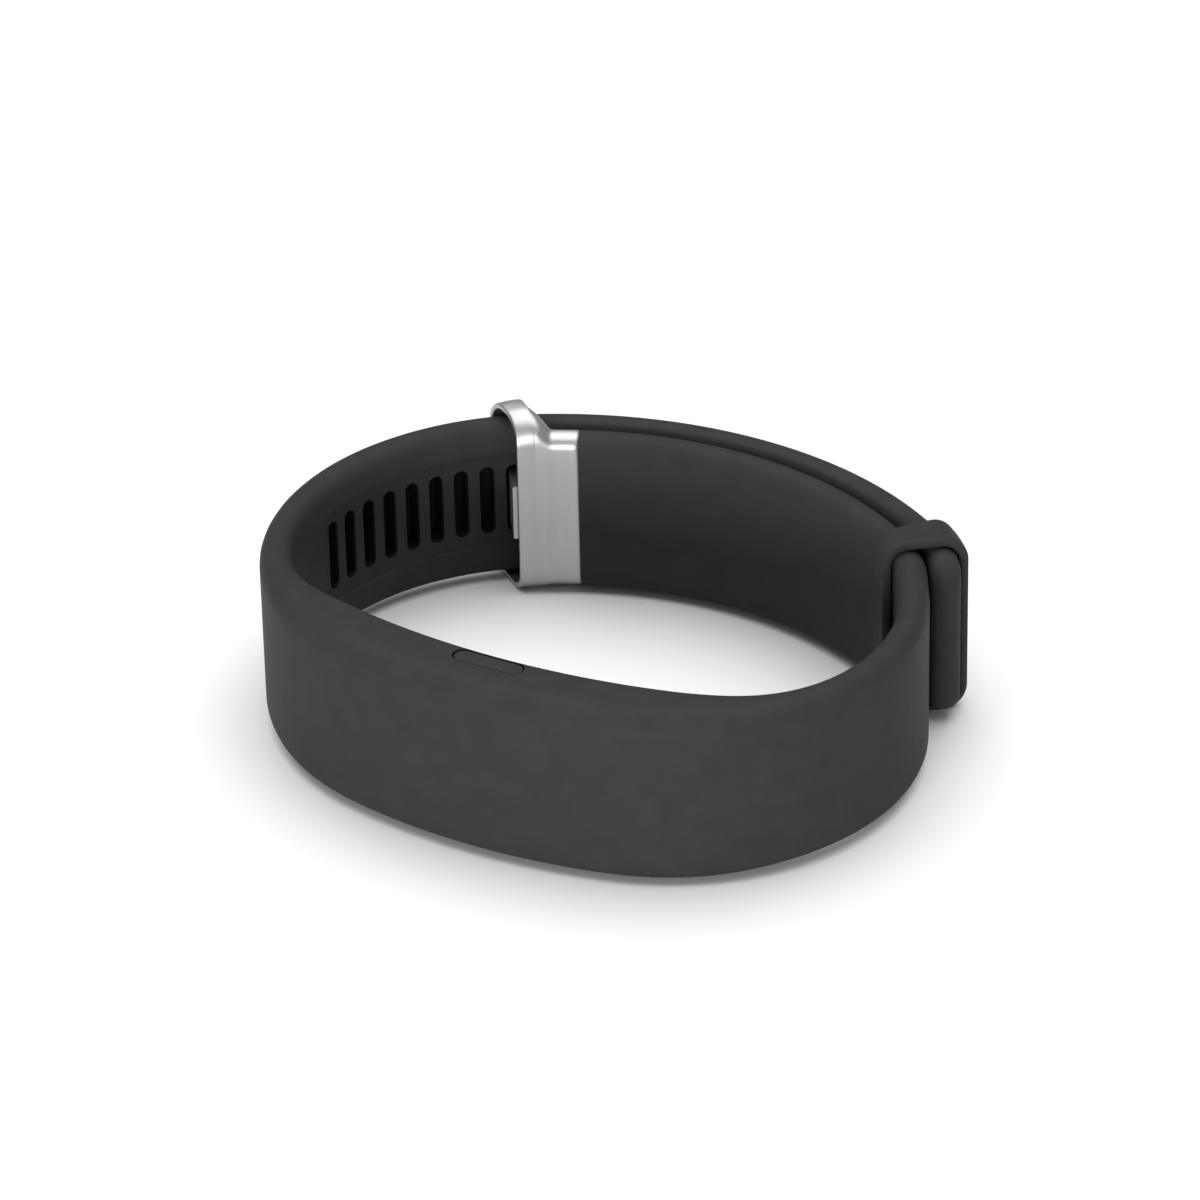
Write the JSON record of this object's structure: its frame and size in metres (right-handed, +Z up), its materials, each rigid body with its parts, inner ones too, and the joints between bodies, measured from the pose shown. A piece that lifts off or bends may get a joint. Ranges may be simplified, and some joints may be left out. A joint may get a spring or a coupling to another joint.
{
  "type": "fitness tracker band",
  "caption": "Wrist band with an adjustable slotted strap, metal ring clasp, keeper loop and a removable activity sensor core.",
  "frame": {"origin": "under the middle of the loop's bounding box, on the surface that the band stands on", "axes": "+Z up across the strap's width, +X along the core's length, -Y out of the front of the core"},
  "size_m": [0.0734, 0.0618, 0.0218],
  "materials": {
    "silicone": "matte moulded silicone, slightly dusty black",
    "brushed_metal": "satin, fine brushed",
    "pins": "plain turned",
    "housing": "fine matte texture",
    "key": "matte",
    "seal": "soft matte",
    "lens": "dark tinted, polished",
    "led": "clear encapsulant",
    "silicon": "dark, glossy",
    "baffle": "dead matte",
    "circuit": "solder mask, satin",
    "flex": "polyimide film",
    "switch": "moulded",
    "chip": "moulded epoxy",
    "can": "tinned sheet",
    "cell": "foil pouch",
    "motor": "drawn can",
    "port": "stamped",
    "coil": "copper track",
    "ceramic": "ceramic"
  },
  "bodies": {
    "band": {"band_pocket": "silicone", "long_strap": "silicone", "short_strap": "silicone", "clasp_ring": "brushed_metal", "clasp_tooth": "brushed_metal", "clasp_pins": "pins"},
    "core": {"key_seal": "seal", "tact_switch": "switch", "core_front_shell": "housing", "core_back_cover": "housing", "cover_gasket": "seal", "sensor_window": "lens", "sensor_leds": "led", "photodiode": "silicon", "light_baffle": "baffle", "sensor_board": "circuit", "sensor_flex": "flex", "main_board": "circuit", "processor_chip": "chip", "motion_sensor": "chip", "shield_can": "can", "battery": "cell", "vibration_motor": "motor", "usb_receptacle": "port", "nfc_antenna": "coil", "bluetooth_antenna": "ceramic", "status_leds": "led"},
    "keeper": {"keeper_loop": "silicone"},
    "band_key": {"key_pad": "silicone"},
    "core_key": {"power_key": "key"}
  },
  "joints": [
    {"name": "core_slide", "type": "slide", "parent": "band", "child": "core", "axis": [0, 1, 0], "range_m": [0, 0.014]},
    {"name": "keeper_slide", "type": "hinge", "parent": "band", "child": "keeper", "pos_m": [0.01644, 0.00538, 0], "axis": [0, 0, -1], "range_deg": [0, 7]},
    {"name": "key_pad_press", "type": "slide", "parent": "band", "child": "band_key", "axis": [0, 0, -1], "range_m": [0, 0.0003], "stiffness_N_per_m": 1500},
    {"name": "power_key_press", "type": "slide", "parent": "core", "child": "core_key", "axis": [0, 0, -1], "range_m": [0, 0.0003]}
  ],
  "couplings": [
    {"joint": "power_key_press", "follows": "key_pad_press", "ratio": 1}
  ]
}
